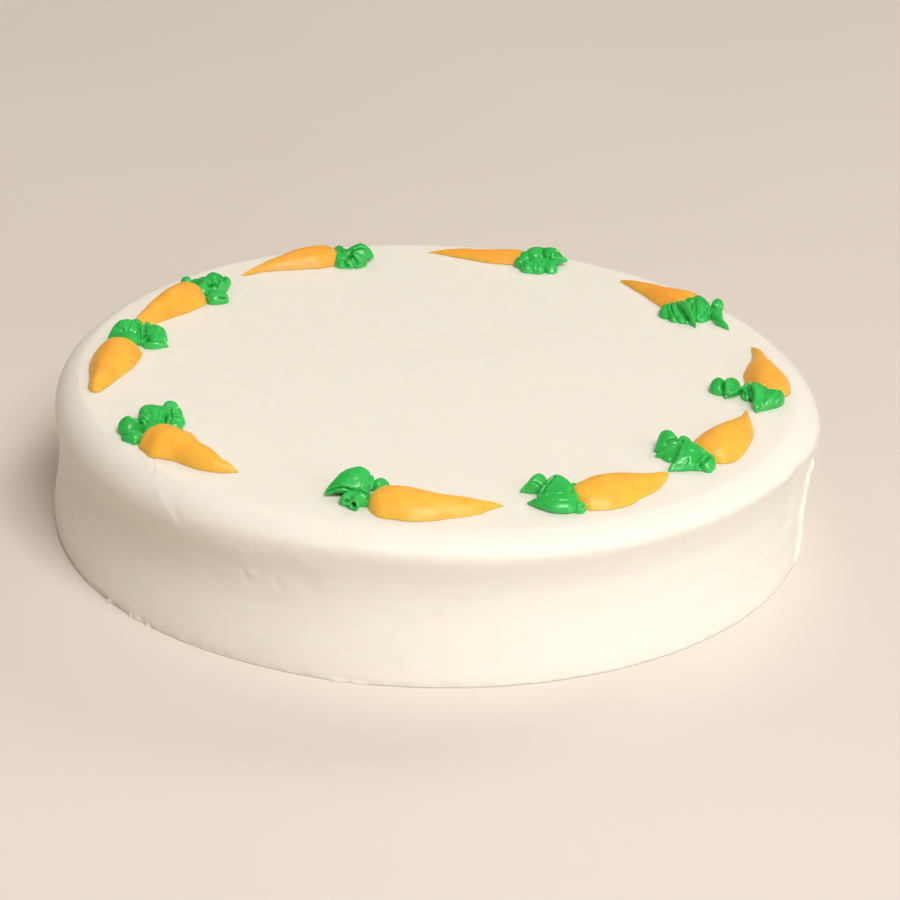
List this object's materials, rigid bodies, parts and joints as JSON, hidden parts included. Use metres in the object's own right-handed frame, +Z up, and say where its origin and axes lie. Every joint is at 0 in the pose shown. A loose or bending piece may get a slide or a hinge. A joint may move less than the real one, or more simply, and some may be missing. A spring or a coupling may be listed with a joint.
{
  "type": "carrot cake",
  "caption": "Low round cake in smooth cream frosting, with carrots piped in orange and green icing lying nose to tail in a ring round the top.",
  "frame": {"origin": "centre of the base circle, on the level underside that the cake rests on", "axes": "+Z up, -Y towards the front of the cake, +X to the right seen from the front"},
  "size_m": [0.2565, 0.2564, 0.0583],
  "materials": {
    "frosting": "soft satin cream-cheese frosting, smoothed with a spatula",
    "orange_icing": "smooth piped icing with a soft sheen",
    "green_icing": "folded piped icing with a wet sheen"
  },
  "bodies": {
    "root": {"frosted_cake": "frosting", "carrot_01_root": "orange_icing", "carrot_01_leaves": "green_icing", "carrot_02_root": "orange_icing", "carrot_02_leaves": "green_icing", "carrot_03_root": "orange_icing", "carrot_03_leaves": "green_icing", "carrot_04_root": "orange_icing", "carrot_04_leaves": "green_icing", "carrot_05_root": "orange_icing", "carrot_05_leaves": "green_icing", "carrot_06_root": "orange_icing", "carrot_06_leaves": "green_icing", "carrot_07_root": "orange_icing", "carrot_07_leaves": "green_icing", "carrot_08_root": "orange_icing", "carrot_08_leaves": "green_icing", "carrot_09_root": "orange_icing", "carrot_09_leaves": "green_icing", "carrot_10_root": "orange_icing", "carrot_10_leaves": "green_icing"}
  },
  "joints": []
}
